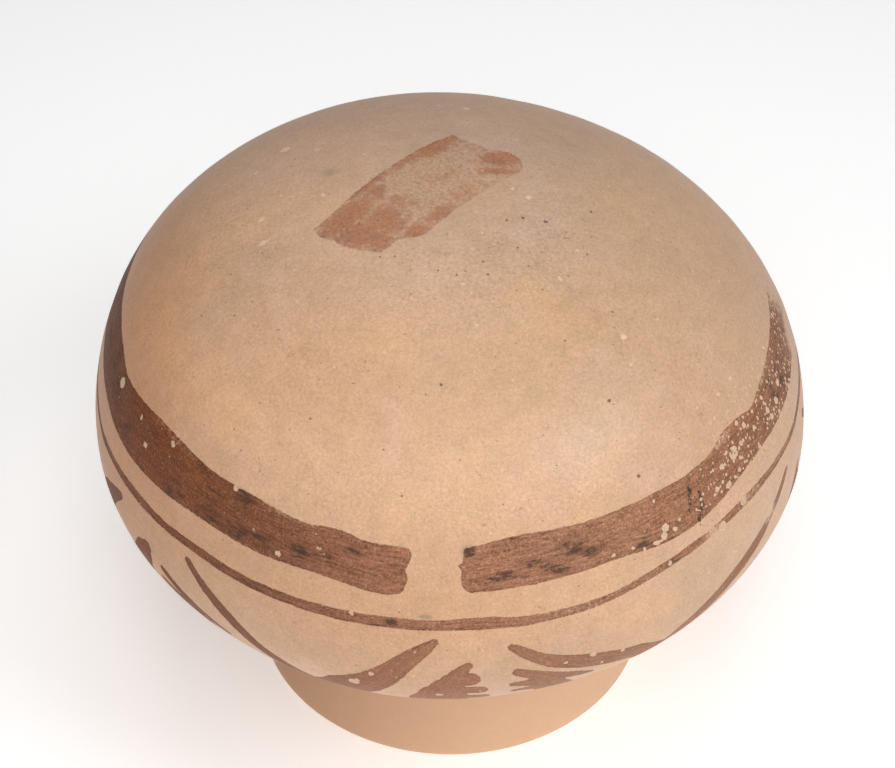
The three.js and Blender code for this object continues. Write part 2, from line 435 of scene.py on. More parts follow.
# Smoky smudges: (azimuth, down, half length round the jar, half height, strength)
SMUDGES = (
    (-79, 134, 5, 4, 0.8), (-74, 136, 5, 4, 0.9), (-66, 140, 4, 3, 0.8), (-57, 132, 3.45, 2.6, 0.5),
    (-50.5, 142.6, 1.84, 2.08, 1), (-48, 139, 4.6, 3.9, 0.5), (-40, 139.6, 5.75, 2.86, 0.8),
    (-35, 138.6, 5.17, 2.6, 1), (-30, 138.4, 5.17, 2.34, 0.8), (-36, 127.8, 3.68, 2.6, 0.9),
    (-23.5, 137, 3.22, 2.86, 1), (-20, 135.6, 4.02, 2.08, 0.7), (-14.6, 131.8, 3.45, 1.82, 1),
    (-8.2, 135, 2.99, 1.17, 0.8), (3.6, 129, 1.95, 2.08, 1.3), (6.4, 136.6, 2.88, 1.3, 0.7),
    (8.6, 137.5, 4.14, 1.56, 1.1), (11.4, 139, 3.45, 1.17, 0.7), (13.6, 135, 3.45, 1.3, 0.8),
    (15.6, 137, 3.45, 1.69, 1), (17.8, 139.3, 2.99, 1.43, 1), (19.2, 131.6, 3.22, 1.56, 0.9),
    (20.8, 133.5, 3.68, 2.08, 1.1), (23, 136.3, 3.22, 1.95, 0.9), (32.3, 141, 3.45, 1.82, 0.9),
    (35, 128, 3.45, 1.3, 0.6), (9, 127.8, 3.45, 1.3, 0.6), (-8.4, 154.4, 2.2, 1.6, 1.1),
    (-10.8, 156, 2, 0.9, 0.9), (-38, 155.2, 4, 0.9, 0.8), (-32.5, 155, 4, 1.1, 0.9),
    (36.4, 152.2, 2.6, 1.4, 0.9), (72, 134, 3, 6, 0.8), (77, 137, 4, 5, 0.8), (66, 138, 3, 4, 0.5),
    (-113.5, 41, 2.4, 2.6, 0.9), (-116, 38, 2, 2, 0.6), (-3.2, 151.2, 1.9, 0.8, 1.5), (150, 136, 8, 3, 0.7),
    (200, 132, 6, 3, 0.8), (238, 137, 7, 3, 0.7), (110, 138, 6, 3, 0.6),
)
# Where the paint has faded or rubbed away, as a smudge is given
FADED = (
    (104, 130, 16, 12, 1.4), (92, 143, 10, 4.5, 1.2), (67, 150, 12, 3, 0.5), (20, 154.4, 15, 3, 0.34),
    (30, 153, 8, 3, 0.28), (45.5, 151.5, 3.4, 3, 0.7), (55, 151, 9, 3, 0.42), (53, 126.5, 8, 1.6, 0.6),
    (-26, 126.2, 8, 1.2, 0.55), (-55, 125.8, 14, 1.6, 0.34), (-35, 143.4, 22, 0.9, 0.4),
    (60.2, 166, 3.2, 3.2, 0.9), (73, 126, 8, 2, 0.5), (-84, 152, 8, 4, 0.3),
)
# Where the surface is pitted
PITTED = (
    (25, 40, 45, 15, 1), (-35, 38, 16, 8, 0.8), (-75, 70, 50, 22, 0.5), (20, 118, 60, 10, 0.3),
    (60, 80, 40, 30, 0.4),
)


def strongest(azimuth, down, girth, patches):
    """The strongest of some soft patches at each place: strength times exp(-half the squared distance), with
    the distance counted in the patch's own half length and half height."""
    most = np.zeros(len(azimuth))
    for where, depth, half_length, half_height, strength in patches:
        x = np.radians(degrees_apart(azimuth, where)) * girth / half_length
        most = np.maximum(most, strength * np.exp(-0.5 * (x**2 + ((down - depth) / half_height) ** 2)))
    return most


def wear(azimuth, down):
    """Where the surface has spalled into pale spots, from 0 to 1: most on the right of the bands."""
    right = ease(azimuth, 30, 58) * (1 - ease(azimuth, 100, 150))
    on_bands = np.exp(-0.5 * ((down - 134) / 14) ** 2)
    upper_left = np.exp(-0.5 * (((azimuth + 75) / 45) ** 2 + ((down - 62) / 30) ** 2))
    back = 0.35 * np.exp(-0.5 * (degrees_apart(azimuth, 200) / 30) ** 2) * on_bands
    return np.clip(right * on_bands + 0.3 * upper_left + 0.25 * right + back, 0, 1)


# Soft drifts of the clay's colour: (azimuth, down, half length, half height, and by how many percent red,
# green and blue rise or fall). The two at down 106 near azimuth 25 and 30 are a painted highlight, and the
# one low on the neck at azimuth -72 is painted shadow; the others raise and lower the clay's red, green and
# blue in patches.
COLOUR_DRIFTS_AND_PAINTED_LIGHT = (
    (-62, 112, 34, 16, (13, 10, 8)), (-20, 112, 34, 15, (10, 11, 13)), (9, 115, 24, 12, (5, 3, 0)),
    # The first patch of this line is a painted highlight
    (30, 106, 16, 10, (3, 7, 14)), (5, 72, 60, 18, (0, -3, -9)), (-80, 60, 60, 35, (2, 3, 7)),
    (76, 80, 45, 50, (-9, -5, -1)), (115, 40, 50, 35, (-8, -4, 0)), (-140, 50, 80, 25, (-3, 0, 7)),
    (-35, 154, 60, 12, (6, -1, -7)), (8, 155, 30, 14, (4, 1, -2)), (38, 152, 35, 16, (7, 9, 13)),
    # Painted shadow low on the neck at the left, then more of the painted highlight
    (-72, 275, 48, 40, (-38, -48, -56)), (25, 106, 13, 9, (4, 8, 14)),
)
# The paint's own colour round the jar: richer on the left, paler in front and on the right
PAINT_TONES = (
    (-180, (146, 96, 66)), (-110, (118, 70, 38)), (-75, (119, 65, 32)), (-58, (131, 70, 32)),
    (-42, (132, 76, 42)), (-26, (141, 88, 60)), (-10, (162, 108, 79)), (6, (170, 116, 86)),
    (20, (164, 114, 85)), (36, (169, 117, 86)), (52, (161, 109, 77)), (66, (158, 106, 76)),
    (90, (150, 100, 72)), (180, (146, 96, 66)),
)


def clay_drift_and_painted_light(azimuth, down, girth):
    """The factor on the clay's red, green and blue: one and a share of the percentage, for each soft
    patch, among them a painted highlight and painted shadow."""
    factor = np.ones((len(azimuth), 3))
    for where, depth, half_length, half_height, percent in COLOUR_DRIFTS_AND_PAINTED_LIGHT:
        near = strongest(azimuth, down, girth, ((where, depth, half_length, half_height, 1.0),))
        factor *= 1 + near[:, None] * np.array(percent) / 100
    return factor


def paint_tone(azimuth):
    """The paint's linear red, green and blue, straight from one tone to the next round the jar."""
    at = [where for where, _ in PAINT_TONES]
    tones = np.array([tone(*rgb)[:3] for _, rgb in PAINT_TONES])
    where = degrees_apart(azimuth, 0)
    return np.stack([np.interp(where, at, tones[:, i]) for i in range(3)], 1)


def round_marks(place, marks):
    """Millimetres inside the nearest of some round marks (azimuth, down, radius), below 0 outside: the
    greatest of radius less distance."""
    deepest = np.full(len(place), FAR_OUTSIDE)
    for azimuth, down, radius in marks:
        deepest = np.maximum(deepest, radius - np.linalg.norm(place - on_jar(azimuth, down), axis=1))
    return deepest


# Pale spalls that stand out, as (azimuth, down, radius), and a ring-shaped one with its inner radius too
PALE_SPALLS = (
    (51.5, 134, 1.2), (49, 132.5, 0.8), (46.8, 131.5, 0.7), (54.8, 140, 1), (51.8, 141, 1),
    (50.8, 141, 0.8), (48.8, 139, 1.1), (47.8, 140.2, 0.7), (47, 136.4, 0.7), (36.6, 139.2, 1.4),
    (36, 141.6, 1.2), (35, 142.7, 0.9), (38.3, 141.5, 0.9), (39.5, 139.4, 0.8), (34, 142.2, 0.7),
    (32, 142.6, 0.7), (30.2, 140.4, 0.7), (40.8, 131, 0.6), (36, 129, 0.6), (67.8, 135.5, 1.3),
    (67.8, 132.4, 0.9), (64.5, 133, 0.8), (70.2, 134.5, 0.9), (58.8, 133.5, 0.8), (63, 134.8, 0.8),
    (63, 143, 1), (66.2, 146.5, 0.9), (58, 141.5, 0.9), (71.5, 137.6, 1.4), (74.8, 135.2, 1.4),
    (59, 127, 1), (-73.6, 133.6, 1.9), (-53.4, 128.2, 1.1), (-59.6, 137.6, 1.1), (-37.4, 126.2, 1),
    (-27.1, 140.3, 1), (-63.5, 132, 0.8), (-20.4, 134, 0.7), (26.6, 140, 0.7), (47.6, 152.2, 1.8),
    (53.6, 150.6, 1.7), (36, 152, 0.9), (-14.3, 153.1, 0.9), (-11.3, 177.4, 1), (-14.2, 184.6, 1.8),
    (-13.6, 182.6, 1), (-1.4, 188.8, 1.3), (17.6, 176.4, 0.8), (21.9, 176, 1.2), (27, 179.6, 0.9),
    (23.5, 182.6, 0.8), (60.2, 166, 2.4), (49.8, 166.6, 1.1), (43.6, 131.4, 0.5), (42.6, 136.2, 0.5),
    (44.2, 141.8, 0.6), (45.6, 136.6, 0.6), (43.4, 139.8, 0.6), (33, 137, 0.5), (44.9, 138, 0.7),
)
RING_SPALLS = ((55.2, 133.5, 2.2, 1.1),)
# Smaller pale flecks and chips on the bare clay
PALE_FLECKS = (
    (-126.5, 68.5, 2.2), (-128, 54.5, 1.1), (-114.5, 72, 1.4), (-106.5, 64, 0.9), (-100, 56, 1),
    (-141, 46, 1), (-133, 35.5, 0.9), (-139, 28, 0.8), (172, 60.5, 1.6), (-179, 62, 1.1), (-89.5, 62, 1.5),
    (-78.5, 62, 1.4), (-78.2, 64.5, 1), (-79, 60, 1), (-59.8, 57, 1), (144, 44, 1.1), (91.2, 29, 1.2),
    (100.2, 24, 1), (36.2, 28.5, 0.9), (47.8, 52, 1.3), (45.8, 88, 1), (59.2, 115, 1.2), (64, 115.5, 1.2),
    (54.5, 114.5, 1), (55, 119.5, 1), (77.5, 123.5, 1.2), (49, 79.5, 1.5), (-0.5, 66, 0.8), (23.5, 68, 0.8),
    (-96, 40.2, 1.2),
)
# Two thin broken drips of black across the thick band, as brush strokes are given
DRIPS = (
    ((44, 128.6, 0.9), (43, 134, 1.3), (41.9, 139.4, 0.8)),
    ((45.3, 132.8, 1), (44.8, 139.5, 1.5), (43.3, 143.6, 1.2), (43, 146.6, 0.5)),
)


def add_number(mesh, name, values):
    """Stores one number a vertex under a name that a material can read."""
    mesh.attributes.new(name, "FLOAT", "POINT").data.foreach_set("value", values.astype(np.float32))


def add_colour(mesh, name, values):
    """Stores three numbers a vertex under a name that a material can read."""
    stored_values = mesh.attributes.new(name, "FLOAT_VECTOR", "POINT").data
    stored_values.foreach_set("vector", values.astype(np.float32).ravel())


def grid_faces(rows, columns):
    """The closed jar's faces as corner indices: a fan at each pole, and a quad between each two rows and
    columns. Vertex 0 is the outside's pole, and the rows follow."""
    column = np.arange(columns)
    after = (column + 1) % columns
    first = 1
    top = np.stack([np.zeros(columns, int), first + column, first + after], 1)
    row = np.arange(rows - 1)[:, None] * columns + first
    quads = np.stack([row + column, row + columns + column, row + columns + after, row + after], 2)
    last = first + (rows - 1) * columns
    bottom = np.stack([last + column, np.full(columns, last + columns), last + after], 1)
    return top, quads.reshape(-1, 4), bottom


def turned_rows(rows, angle):
    """Rows of radius and height, or of a way out, turned round the axis to every column's angle."""
    across = [np.outer(rows[:, 0], np.sin(angle)), -np.outer(rows[:, 0], np.cos(angle))]
    return np.stack([*across, np.repeat(rows[:, 1:], len(angle), 1)], 2).reshape(-1, 3)


def jar_mesh():
    """The whole jar on one grid: every row turned round the axis, closed by a pole at each end, then
    wandered and made a little uneven. Its paint and wear are stored at the vertices."""
    points, ways_out, downs, within = row_profile()
    t = np.arange(COLUMNS) / COLUMNS * 2 * math.pi - math.pi
    angle = t - FRONT_CROWDING * np.sin(t)
    top, floor = OUTSIDE[0, 1], OUTSIDE[0, 1] - BASE_WALL
    place = np.concatenate([[[0, 0, top]], turned_rows(points, angle), [[0, 0, floor]]])
    out = np.concatenate([[[0, 0, 1]], turned_rows(ways_out, angle), [[0, 0, -1]]])
    azimuth = np.concatenate([[0], np.tile(np.degrees(angle), len(points)), [0]])
    down = np.concatenate([[0], np.repeat(downs, COLUMNS), [0]])
    inside = np.concatenate([[0], np.repeat(within, COLUMNS), [1]])
    girth = np.maximum(np.hypot(place[:, 0], place[:, 1]), 1)

    place = wander(place)
    clear_of_rim = ease(place[:, 2], *RIM_CALM)
    uneven = SWELL_WAVES[0] * ripple(place, SWELL_WAVES[1], seed=3)
    uneven += COIL_WAVES[0] * ripple(place * [1, 1, COIL_SQUEEZE], COIL_WAVES[1], seed=5)
    place += out * (uneven * clear_of_rim * (1 + inside))[:, None]

    mesh = bpy.data.meshes.new("jar_clay")
    cap, quads, foot = grid_faces(len(points), COLUMNS)
    corners = np.concatenate([cap.ravel(), quads.ravel(), foot.ravel()])
    sizes = np.concatenate([np.full(len(cap), 3), np.full(len(quads), 4), np.full(len(foot), 3)])
    mesh.vertices.add(len(place))
    mesh.vertices.foreach_set("co", (place * MM).astype(np.float32).ravel())
    mesh.loops.add(len(corners))
    mesh.loops.foreach_set("vertex_index", corners.astype(np.int32))
    mesh.polygons.add(len(sizes))
    starts = np.concatenate([[0], np.cumsum(sizes)[:-1]])
    mesh.polygons.foreach_set("loop_start", starts.astype(np.int32))
    mesh.polygons.foreach_set("use_smooth", np.ones(len(sizes), bool))
    mesh.update(calc_edges=True)
    mesh.validate()

    painted, aside = paint_depth(azimuth, down, girth)
    outside = 1 - inside
    over_base = ease(place[:, 2], *PANEL_HEIGHTS) * outside
    panel = panel_depth(place[:, 0], place[:, 1])
    spalls = round_marks(place, PALE_SPALLS)
    for azimuth_of_ring, down_of_ring, outer, inner in RING_SPALLS:
        middle = (azimuth_of_ring, down_of_ring)
        ring = np.minimum(round_marks(place, ((*middle, outer),)), -round_marks(place, ((*middle, inner),)))
        spalls = np.maximum(spalls, ring)
    drips = np.max([stroke_depth(azimuth, down, girth, run)[0] for run in DRIPS], axis=0)
    numbers = {
        "paint_depth": np.where(inside > 0, FAR_OUTSIDE, painted),
        "brush_aside": aside,
        "panel_depth": np.where(over_base > 0, panel, -PANEL_REACH),
        "panel_hold": panel_hold(place[:, 0], place[:, 1]) * over_base,
        "smudge": strongest(azimuth, down, girth, SMUDGES) * outside,
        "faded": strongest(azimuth, down, girth, FADED),
        "pitted": strongest(azimuth, down, girth, PITTED) * outside,
        "wear": wear(azimuth, down) * outside,
        "spalls": np.where(inside > 0, FAR_OUTSIDE, spalls),
        "flecks": np.where(inside > 0, FAR_OUTSIDE, round_marks(place, PALE_FLECKS)),
        "drips": np.maximum(drips, FAR_OUTSIDE),
        "inside": inside,
        "down": down,
    }
    for name, values in numbers.items():
        add_number(mesh, name, values)
    # The clay's colour drifts, with a painted highlight and painted shadow among them
    add_colour(mesh, "drift_and_painted_light", clay_drift_and_painted_light(azimuth, down, girth))
    add_colour(mesh, "paint_tone", paint_tone(azimuth))
    return mesh


class Wire:
    """One output of a shader node. Arithmetic on wires adds Math nodes, so a formula reads as it is meant."""

    def __init__(self, socket):
        self.socket = socket

    def node(self, kind, settings=None, values=None, output=0):
        """Adds a node to the same material: settings first, then a value or a wire for each of its inputs."""
        tree = self.socket.id_data
        made = tree.nodes.new(kind)
        for name, value in (settings or {}).items():
            setattr(made, name, value)
        for name, value in (values or {}).items():
            if isinstance(value, Wire):
                tree.links.new(value.socket, made.inputs[name])
            else:
                made.inputs[name].default_value = value
        return Wire(made.outputs[output])

    def beside(self, name):
        """Another output of the same node."""
        return Wire(self.socket.node.outputs[name])

    def math(self, operation, *others):
        return self.node("ShaderNodeMath", {"operation": operation}, dict(enumerate((self, *others))))

    def __add__(self, other):
        return self.math("ADD", other)

    def __mul__(self, other):
        return self.math("MULTIPLY", other)

    def __sub__(self, other):
        return self.math("SUBTRACT", other)

    def __rsub__(self, other):
        return self.node("ShaderNodeMath", {"operation": "SUBTRACT"}, {0: other, 1: self})

    def __abs__(self):
        return self.math("ABSOLUTE")

    __radd__ = __add__

    def over(self, low, high, start=0.0, end=1.0):
        """Goes smoothly from start to end as this goes from low to high."""
        values = {0: self, 1: low, 2: high, 3: start, 4: end}
        return self.node("ShaderNodeMapRange", {"interpolation_type": "SMOOTHSTEP"}, values)

    def vector(self, operation, *others, output=0):
        """One step of vector arithmetic, on places or on colours."""
        values = dict(enumerate((self, *others)))
        return self.node("ShaderNodeVectorMath", {"operation": operation}, values, output)

    def stretched(self, x, y, z):
        """A place with each axis scaled by its own factor."""
        return self.vector("MULTIPLY", (x, y, z))

    def turned(self, x, y, z):
        """A place turned by degrees about X, Y and Z."""
        angles = [math.radians(v) for v in (x, y, z)]
        values = {"Vector": self, "Rotation": angles}
        return self.node("ShaderNodeVectorRotate", {"rotation_type": "EULER_XYZ"}, values)

    def raised(self, height):
        """A place moved along Z by another wire."""
        return self.vector("ADD", self.node("ShaderNodeCombineXYZ", None, {2: height}))

    def shaded(self, change, hue=(0.9, 1.0, 1.13)):
        """This colour made lighter or darker by a share, blue the most and red the least."""
        step = self.node("ShaderNodeVectorMath", {"operation": "SCALE"}, {0: hue, "Scale": change})
        return self.vector("MULTIPLY_ADD", step, self)

    def times(self, colour):
        """This colour multiplied by another."""
        return self.vector("MULTIPLY", colour)

    def parts(self):
        """A place's three coordinates."""
        split = self.node("ShaderNodeSeparateXYZ", None, {0: self})
        return split, split.beside("Y"), split.beside("Z")

    def noise(self, size, detail=2.0, roughness=0.5):
        """Cloudy noise about 0.5 with features of a size in millimetres, at this place."""
        values = {"Vector": self, "Scale": 1 / size, "Detail": detail, "Roughness": roughness}
        return self.node("ShaderNodeTexNoise", {"noise_dimensions": "3D"}, values)

    def uneven(self, size, detail=2.0, roughness=0.5):
        """The same cloudy noise, about 0."""
        return self.noise(size, detail, roughness) - 0.5

    def cells(self, size):
        """Scattered cells of a size in millimetres: the distance, in cells, to the nearest cell's middle."""
        return self.node("ShaderNodeTexVoronoi", {"feature": "F1"}, {"Vector": self, "Scale": 1 / size})

    def colour(self, red, green, blue):
        """One plain colour, by its everyday values."""
        made = self.node("ShaderNodeRGB")
        made.socket.default_value = tone(red, green, blue)
        return made

    def mixed(self, other, share):
        """This colour blended by a share with another, which is a wire or everyday values."""
        settings = {"data_type": "RGBA", "blend_type": "MIX", "clamp_factor": True}
        other = other if isinstance(other, Wire) else tone(*other)
        return self.node("ShaderNodeMix", settings, {0: share, 6: self, 7: other}, output=2)

    def apart(self, point):
        """Distance from this place to a point of the jar."""
        return self.vector("DISTANCE", tuple(point), output=1)


def new_material(name):
    """An empty material with its shader, and a wire of the place in millimetres."""
    material = bpy.data.materials.new(name)
    material.use_nodes = True
    tree = material.node_tree
    tree.nodes.clear()
    shader = tree.nodes.new("ShaderNodeBsdfPrincipled")
    output = tree.nodes.new("ShaderNodeOutputMaterial")
    tree.links.new(shader.outputs[0], output.inputs["Surface"])
    coordinates = tree.nodes.new("ShaderNodeTexCoord")
    place = Wire(coordinates.outputs["Object"]).stretched(1 / MM, 1 / MM, 1 / MM)
    return material, shader, place


def stored(place, name, output="Fac"):
    """A number, or a colour as a vector, that the mesh stores at each vertex."""
    return place.node("ShaderNodeAttribute", {"attribute_name": name}, output=output)


def scattered_spots(place, size, keep, smallest, largest):
    """Round spots, one in some of the cells: millimetres inside a spot, below 0 outside, far below where
    none is. A cell's random number says whether it has a spot, and how big."""
    cell = place.cells(size)
    draw = cell.node("ShaderNodeSeparateColor", None, {0: cell.beside("Color")})
    radius = draw.over(1 - keep, 1.0, smallest, largest)
    return radius - cell * size - draw.math("LESS_THAN", 1 - keep) * size


# Dark specks, where a grain has burnt out or dirt has lodged, as (azimuth, down, radius)
DARK_SPECKS = (
    (-13.2, 47.5, 0.5), (4.5, 58, 0.6), (-0.5, 76, 0.9), (-4, 79.5, 0.6), (34.5, 70.5, 0.6),
    (41.5, 76, 0.5), (36.2, 94, 1), (36.7, 95.4, 0.6), (12.8, 51, 0.5), (-10.2, 87.5, 0.4),
    (-11.8, 98.5, 0.5), (27.2, 43, 0.5), (8.2, 39.5, 0.5), (-45.2, 96, 0.6), (-31.8, 85, 0.5),
    (-28, 95, 0.8), (-22, 93.5, 0.6), (-24, 101, 0.5), (-39.2, 114.5, 0.5), (-7.5, 112, 0.6),
    (-80.2, 118.5, 0.5), (-44.2, 68, 0.5), (-67.8, 92, 0.7), (-60.5, 82.5, 0.6), (-20.5, 72, 0.6),
    (-36.5, 75.5, 0.5), (-3.5, 119.5, 0.5), (-49.8, 159, 0.5), (-14.8, 145, 0.7), (45.5, 89, 0.7),
    (51.2, 108, 0.6), (45.8, 116.5, 0.6), (44.2, 110.5, 0.5), (46.8, 124, 0.4), (35, 119.5, 0.9),
    (-96, 38, 0.8), (-64, 30.5, 0.9), (88.2, 50, 0.8), (73, 36, 1.1), (69.5, 28.5, 0.9), (61.2, 24.5, 0.8),
    (42, 17.5, 0.7), (46, 34.5, 0.7), (22.5, 39, 0.8), (7.5, 37, 0.7), (27.2, 42.5, 0.6), (51.2, 53, 0.9),
    (-1.8, 35, 0.6), (-35, 35, 0.7), (-27.8, 32.5, 0.6), (67.5, 44, 0.5),
)


def nearest_of(place, marks):
    """Depth inside the nearest of some round marks, in millimetres: the greatest of radius less distance."""
    deepest = None
    for azimuth, down, radius in marks:
        depth = radius - place.apart(on_jar(azimuth, down))
        deepest = depth if deepest is None else deepest.math("MAXIMUM", depth)
    return deepest


def along_brush(place, stretch):
    """A place drawn out along the brush's path: squeezed round the jar, with the distance across the path."""
    return place.stretched(stretch, stretch, 0.0).raised(stored(place, "brush_aside"))


def clay_with_painted_light(place, neck, uneven):
    """Buff clay: drifts of colour from the firing; painted shade that makes the left darker and more orange;
    painted sheen that makes the back greyer; a greyer right side; a paler neck, partly painted light bounced
    up from the floor; and the stored drifts with their painted highlight and shadow, made lighter and darker
    by a share."""
    aside, away, _ = place.parts()
    drifts_and_painted_light = (
        ((206, 169, 134), place.noise(55).over(0.47, 0.68) * 0.5),
        ((231, 182, 136), place.turned(50, 20, 0).noise(38).over(0.5, 0.7) * 0.5),
        ((228, 185, 160), place.turned(0, 70, 30).noise(24, 3).over(0.52, 0.7) * 0.4),
        # Greyer towards the back: painted sheen, for the grazing reflection there
        ((213, 174, 146), away.over(-10, 100) * 0.8),
        # Darker and more orange on the left: painted shade
        ((204, 146, 102), aside.over(-65, -122) * 0.85),
        ((212, 170, 138), aside.over(75, 120) * away.over(-60, 20) * 0.7),
        # A paler neck: partly painted light, bounced up from the floor
        ((243, 200, 163), neck),
    )
    clay = place.colour(222, 178, 142)
    for other, share in drifts_and_painted_light:
        clay = clay.mixed(other, share)
    # The stored drifts bring in a painted highlight and painted shadow
    return clay.times(stored(place, "drift_and_painted_light", "Vector")).shaded(uneven)


def brown_paint(place, clay, grain, ragged, depth):
    """Brown paint in its own tone round the jar: bristle streaks along the brush's path, thicker and thinner
    runs, a little dust, and dark where it has gathered at its edges or gone smoky."""
    bristles = along_brush(place, 0.12).uneven(0.7, 3, 0.7)
    load = along_brush(place, 0.2).uneven(3)
    streaky = along_brush(place, 0.25).uneven(1.5, 4, 0.75)
    calm = 1 - stored(place, "down").over(158, 168) * 0.5
    uneven = (bristles * 2.1 + load * 0.7 + grain * 1.9 + ragged * 0.9) * calm
    paint = stored(place, "paint_tone", "Vector").shaded(uneven - depth.over(0.9, 0.2) * 0.15)
    paint = paint.mixed(clay, grain.over(0.08, 0.26) * 0.35)
    smoky = stored(place, "smudge")
    black = (smoky * 1.05 + streaky * 2.8 + (grain + ragged) * 1.6).over(0.55, 1.15) * smoky.over(0.1, 0.35)
    paint = paint.mixed((54, 38, 31), black * 0.8)
    return paint.mixed((88, 60, 46), streaky.over(0.08, 0.24) * 0.5)


def old_panel(place, grain, ragged):
    """The worn reddish panel on the base: its colour, and its share over the clay."""
    mottle = place.uneven(2.2, 4, 0.75)
    depth = stored(place, "panel_depth")
    edge = (depth + ragged * 1.6 + mottle * 1.4).over(-0.35, 0.35)
    held = (stored(place, "panel_hold") + 0.2 + mottle * 2.8 + grain * 1.4).over(0.1, 1.0)
    fine = mottle * 1.1 + grain * 1.5 + ragged * 1.7
    red = place.colour(182, 125, 91).mixed((168, 118, 96), place.noise(8).over(0.45, 0.65) * 0.7)
    red = red.shaded(fine * 0.6 - depth.over(1.3, 0.2) * 0.3)
    dust = place.colour(196, 158, 130).shaded(fine)
    return dust.mixed(red, held), edge * (held * 0.4 + 0.55)


def fired_clay():
    """The jar's one material: polished buff clay, pits and grains, worn brown paint, the panel and spalls."""
    material, shader, place = new_material("painted_buff_clay")
    inside = stored(place, "inside")
    outside = 1 - inside
    pitted = stored(place, "pitted")
    neck = stored(place, "down").over(226, 246)
    calm = 1 - neck * 0.8
    clouds = place.uneven(7, 4, 0.6)
    grain = place.uneven(0.75, 2, 0.7)
    ragged = place.uneven(1.3, 3, 0.7)
    streak = place.stretched(0.1, 0.1, 1.4).uneven(1.2, 3, 0.7)

    # Clay with painted shade, sheen, highlight and shadow, then the panel, polishing strokes, short
    # hairlines and grey smudges
    uneven = clouds * 0.34 + grain * 0.58 + ragged * (pitted * 0.5 + 0.34) - streak.over(0.06, 0.24) * 0.07
    clay = clay_with_painted_light(place, neck, uneven * calm)
    panel, panel_share = old_panel(place, grain, ragged)
    colour = clay.mixed(panel, panel_share)
    patches = place.turned(30, 0, 60).noise(9).over(0.6, 0.68) * (1 - neck)
    hairline = abs(place.uneven(3, 1)).over(0.016, 0.005) * patches
    colour = colour.mixed((150, 110, 84), hairline * 0.4)
    colour = colour.mixed((138, 124, 112), (stored(place, "smudge") + ragged).over(0.3, 1.2) * 0.5)

    # Brown paint, with an edge that wavers as a loaded brush leaves it, rubbed away in places
    depth = stored(place, "paint_depth") + place.uneven(5) * 0.7 + ragged * 1.2
    left = (1 + ragged * 1.6 - stored(place, "faded")).over(0.2, 0.8)
    painted = depth.over(-0.16, 0.16) * left * outside
    colour = colour.mixed(brown_paint(place, clay, grain, ragged, depth), painted)
    drip = (stored(place, "drips") + 0.3 + ragged * 2.4).over(0.0, 0.4)
    colour = colour.mixed((50, 42, 34), drip * 0.9)

    # Dark pits of burnt-out grains, and the specks that stand out
    pits = (scattered_spots(place, 3.8, 0.5, -0.3, 0.36) + pitted * 0.26 + ragged * 0.8).over(-0.05, 0.25)
    dashes = scattered_spots(place.turned(35, 10, 20).stretched(0.4, 1, 1), 2.1, 0.5, -0.02, 0.26)
    dashes = (dashes + pitted * 0.1).over(-0.03, 0.1)
    specks = (nearest_of(place, DARK_SPECKS) - 0.3 + ragged * 2.2 + grain).over(-0.1, 0.4)
    dark = (dashes * 0.5).math("MAXIMUM", pits * 0.55).math("MAXIMUM", specks * 0.85)
    colour = colour.mixed((84, 48, 32), dark * outside * calm)

    # Pale grains, flecks, scratches and spalls: some that stand out, and many where the surface is worn
    grains = (scattered_spots(place.turned(40, 25, 10), 5.0, 0.5, -0.1, 0.6) + pitted * 0.2).over(-0.05, 0.25)
    scratches = scattered_spots(place.turned(5, 80, 50).stretched(0.22, 1, 1), 2.4, 0.4, 0.02, 0.2)
    flecks = (stored(place, "flecks") + ragged).over(-0.1, 0.6)
    pale = (grains * 0.55).math("MAXIMUM", scratches.over(-0.03, 0.1) * 0.3)
    colour = colour.mixed((244, 212, 182), pale.math("MAXIMUM", flecks * 0.85) * calm)
    small_spalls = scattered_spots(place.turned(15, 60, 35), 1.5, 0.8, 0.0, 0.7)
    wide_spalls = scattered_spots(place.turned(70, 20, 5), 3.9, 0.6, 0.0, 1.15)
    many = small_spalls.math("MAXIMUM", wide_spalls) + ragged * 1.5 - (1 - stored(place, "wear")) * 0.95
    known = stored(place, "spalls") + 0.17 + ragged * 1.1
    spall_depth = (many - clouds * 0.8).math("MAXIMUM", known)
    spall = spall_depth.over(-0.1, 0.14) * outside
    colour = colour.mixed((104, 68, 48), spall_depth.over(-0.6, -0.2) * painted * 0.3)
    chalky = place.colour(238, 202, 170).shaded(grain * 0.7)
    colour = colour.mixed(chalky, spall * (painted * 0.4 + 0.45))

    # Inside the jar: unpolished, greyer, wiped
    wiped = place.stretched(0.1, 0.1, 1.0).noise(3)
    inner = clay.mixed((176, 142, 114), 0.55).mixed((150, 118, 94), wiped.over(0.45, 0.7) * 0.4)
    colour = colour.mixed(inner, inside)

    rough = 0.46 + (grain + clouds) * 0.2 + streak * 0.25 + painted * 0.2
    rough = rough + (spall + inside) * 0.3 + panel_share * 0.12
    height = grain * 0.07 + streak * 0.08 + clouds * 0.14 - pits * 0.15
    bump = place.node("ShaderNodeBump", None, {"Strength": 1.0, "Distance": MM, "Height": height})

    tree = material.node_tree
    tree.links.new(colour.socket, shader.inputs["Base Color"])
    tree.links.new(rough.socket, shader.inputs["Roughness"])
    tree.links.new(bump.socket, shader.inputs["Normal"])
    shader.inputs["Specular IOR Level"].default_value = 0.4
    return material


def dress_jar():
    """The fine jar, standing for the solid one."""
    jar = bpy.data.objects.new("painted_jar", jar_mesh())
    bpy.context.scene.collection.objects.link(jar)
    jar.data.materials.append(fired_clay())
    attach(jar, "root")
    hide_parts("jar")


# The camera: how far it looks down, its distance from the point that it looks at, and its lens
CAMERA_DOWN = math.radians(44.4241)
CAMERA_DISTANCE = 8 * BODY_RADIUS * MM
AIM_HEIGHT = 0.75 * BODY_RADIUS * MM
PHOTO_WIDTH, PHOTO_HEIGHT = 895, 768
FOCAL_PIXELS = 2802.4
AIM_PIXEL = (448.13, 432.74)
SENSOR = 36.0


